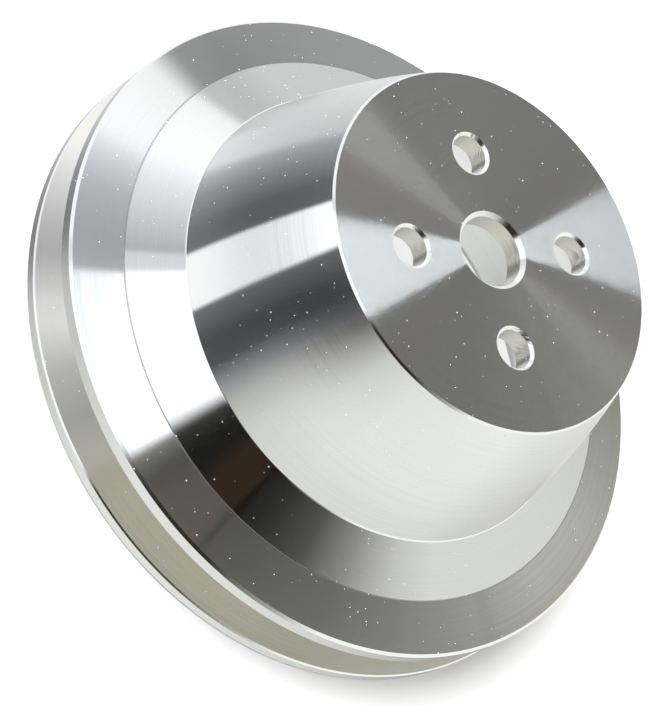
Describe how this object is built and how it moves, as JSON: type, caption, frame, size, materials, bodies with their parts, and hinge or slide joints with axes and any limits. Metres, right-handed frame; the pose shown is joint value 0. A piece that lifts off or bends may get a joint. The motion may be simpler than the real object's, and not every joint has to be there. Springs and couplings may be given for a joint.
{
  "type": "v-belt pulley",
  "caption": "Turned aluminium V-belt pulley: a cup-shaped drum whose flat end plate is drilled for a hub, flaring to a rim with a belt groove.",
  "frame": {"origin": "centre of the pilot bore on the seat, the inner side of the end plate, where the pump's hub flange bears", "axes": "+Z along the pulley's axis towards the front face, away from the engine; +X and +Y each through a bolt hole"},
  "size_m": [0.151, 0.151, 0.0656],
  "materials": {
    "turned_aluminium": "bright turned, with fine circular tool marks"
  },
  "bodies": {
    "root": {"pulley": "turned_aluminium"}
  },
  "joints": []
}
